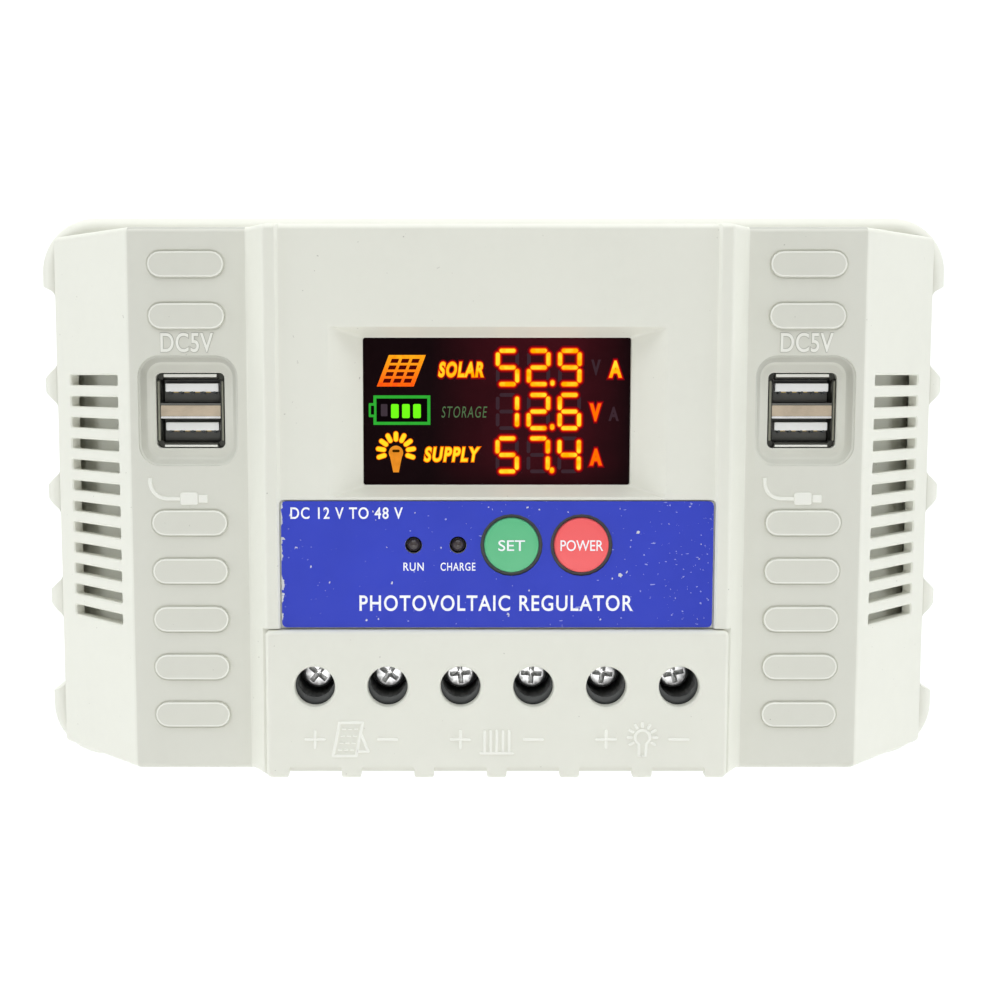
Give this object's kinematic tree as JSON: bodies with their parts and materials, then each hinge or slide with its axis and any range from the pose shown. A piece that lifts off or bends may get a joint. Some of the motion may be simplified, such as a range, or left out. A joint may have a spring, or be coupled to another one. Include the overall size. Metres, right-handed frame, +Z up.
{
  "type": "solar charge controller",
  "caption": "Wall-mounted charge controller: light grey housing with a digit display, push buttons, double USB sockets, side vents and a row of screw terminals.",
  "frame": {"origin": "centre of the flat back of the rear base, on the wall", "axes": "+Z up, the front faces -Y so +Y goes into the wall, +X to the right of someone facing the front"},
  "size_m": [0.2072, 0.0515, 0.1254],
  "materials": {
    "shell_plastic": "moulded light grey, fine satin texture",
    "label_blue": "printed blue vinyl, white lettering",
    "button_green": "moulded green, white lettering",
    "button_red": "moulded red, white lettering",
    "lamp_resin": "smoked epoxy, unlit",
    "smoked_window": "smoked, polished, with a lit segment display behind it",
    "black_plastic": "moulded black, satin",
    "board_laminate": "green solder mask",
    "usb_nylon": "moulded white nylon with gold contacts",
    "steel": "nickel-plated sheet",
    "screw_chrome": "bright nickel plate",
    "zinc_plate": "zinc plated",
    "tinned_copper": "dull tin plate",
    "aluminium": "extruded, plain",
    "capacitor_sleeve": "shrunk sleeve",
    "winding_copper": "enamelled winding",
    "fuse_orange": "translucent moulding",
    "ribbon_grey": "soft insulation"
  },
  "bodies": {
    "housing": {"capacitor_1": "capacitor_sleeve", "capacitor_2": "capacitor_sleeve", "capacitor_3": "capacitor_sleeve", "case_screw_1": "steel", "case_screw_2": "steel", "case_screw_3": "steel", "case_screw_4": "steel", "choke": "winding_copper", "current_bar_1": "tinned_copper", "current_bar_2": "tinned_copper", "current_bar_3": "tinned_copper", "current_bar_4": "tinned_copper", "current_bar_5": "tinned_copper", "current_bar_6": "tinned_copper", "display_module": "black_plastic", "display_window": "smoked_window", "front_board": "board_laminate", "front_cover": "shell_plastic", "fuse_1": "fuse_orange", "fuse_2": "fuse_orange", "heat_sink": "aluminium", "label_overlay": "label_blue", "main_board": "board_laminate", "menu_switch": "black_plastic", "panel_lamp": "lamp_resin", "power_switch": "black_plastic", "power_transistor_1": "black_plastic", "power_transistor_2": "black_plastic", "power_transistor_3": "black_plastic", "rear_base": "shell_plastic", "ribbon_cable": "ribbon_grey", "terminal_body_1": "black_plastic", "terminal_body_2": "black_plastic", "terminal_body_3": "black_plastic", "terminal_body_4": "black_plastic", "terminal_body_5": "black_plastic", "terminal_body_6": "black_plastic", "terminal_cover": "shell_plastic", "usb_board_left": "board_laminate", "usb_board_right": "board_laminate", "usb_insulator_left": "usb_nylon", "usb_insulator_right": "usb_nylon", "usb_shell_left": "steel", "usb_shell_right": "steel", "work_lamp": "lamp_resin"},
    "menu_key": {"menu_button": "button_green"},
    "power_key": {"power_button": "button_red"},
    "screw_1": {"terminal_screw_1": "screw_chrome"},
    "clamp_1": {"clamp_cage_1": "zinc_plate"},
    "screw_2": {"terminal_screw_2": "screw_chrome"},
    "clamp_2": {"clamp_cage_2": "zinc_plate"},
    "screw_3": {"terminal_screw_3": "screw_chrome"},
    "clamp_3": {"clamp_cage_3": "zinc_plate"},
    "screw_4": {"terminal_screw_4": "screw_chrome"},
    "clamp_4": {"clamp_cage_4": "zinc_plate"},
    "screw_5": {"terminal_screw_5": "screw_chrome"},
    "clamp_5": {"clamp_cage_5": "zinc_plate"},
    "screw_6": {"terminal_screw_6": "screw_chrome"},
    "clamp_6": {"clamp_cage_6": "zinc_plate"}
  },
  "joints": [
    {"name": "menu_press", "type": "slide", "parent": "housing", "child": "menu_key", "axis": [0, 1, 0], "range_m": [0, 0.0006], "stiffness_N_per_m": 900, "springref_m": -0.0012},
    {"name": "power_press", "type": "slide", "parent": "housing", "child": "power_key", "axis": [0, 1, 0], "range_m": [0, 0.0006], "stiffness_N_per_m": 900, "springref_m": -0.0012},
    {"name": "screw_1_turn", "type": "hinge", "parent": "housing", "child": "screw_1", "pos_m": [-0.03875, -0.04, -0.0379], "axis": [0, 1, 0], "range_deg": [0, 1485]},
    {"name": "clamp_1_rise", "type": "slide", "parent": "housing", "child": "clamp_1", "axis": [0, -1, 0], "range_m": [0, 0.0033]},
    {"name": "screw_2_turn", "type": "hinge", "parent": "housing", "child": "screw_2", "pos_m": [-0.02325, -0.04, -0.0379], "axis": [0, 1, 0], "range_deg": [0, 1485]},
    {"name": "clamp_2_rise", "type": "slide", "parent": "housing", "child": "clamp_2", "axis": [0, -1, 0], "range_m": [0, 0.0033]},
    {"name": "screw_3_turn", "type": "hinge", "parent": "housing", "child": "screw_3", "pos_m": [-0.00775, -0.04, -0.0379], "axis": [0, 1, 0], "range_deg": [0, 1485]},
    {"name": "clamp_3_rise", "type": "slide", "parent": "housing", "child": "clamp_3", "axis": [0, -1, 0], "range_m": [0, 0.0033]},
    {"name": "screw_4_turn", "type": "hinge", "parent": "housing", "child": "screw_4", "pos_m": [0.00775, -0.04, -0.0379], "axis": [0, 1, 0], "range_deg": [0, 1485]},
    {"name": "clamp_4_rise", "type": "slide", "parent": "housing", "child": "clamp_4", "axis": [0, -1, 0], "range_m": [0, 0.0033]},
    {"name": "screw_5_turn", "type": "hinge", "parent": "housing", "child": "screw_5", "pos_m": [0.02325, -0.04, -0.0379], "axis": [0, 1, 0], "range_deg": [0, 1485]},
    {"name": "clamp_5_rise", "type": "slide", "parent": "housing", "child": "clamp_5", "axis": [0, -1, 0], "range_m": [0, 0.0033]},
    {"name": "screw_6_turn", "type": "hinge", "parent": "housing", "child": "screw_6", "pos_m": [0.03875, -0.04, -0.0379], "axis": [0, 1, 0], "range_deg": [0, 1485]},
    {"name": "clamp_6_rise", "type": "slide", "parent": "housing", "child": "clamp_6", "axis": [0, -1, 0], "range_m": [0, 0.0033]}
  ],
  "couplings": [
    {"joint": "screw_1_turn", "follows": "clamp_1_rise", "rad_per_m": 7853.9},
    {"joint": "screw_2_turn", "follows": "clamp_2_rise", "rad_per_m": 7853.9},
    {"joint": "screw_3_turn", "follows": "clamp_3_rise", "rad_per_m": 7853.9},
    {"joint": "screw_4_turn", "follows": "clamp_4_rise", "rad_per_m": 7853.9},
    {"joint": "screw_5_turn", "follows": "clamp_5_rise", "rad_per_m": 7853.9},
    {"joint": "screw_6_turn", "follows": "clamp_6_rise", "rad_per_m": 7853.9}
  ]
}
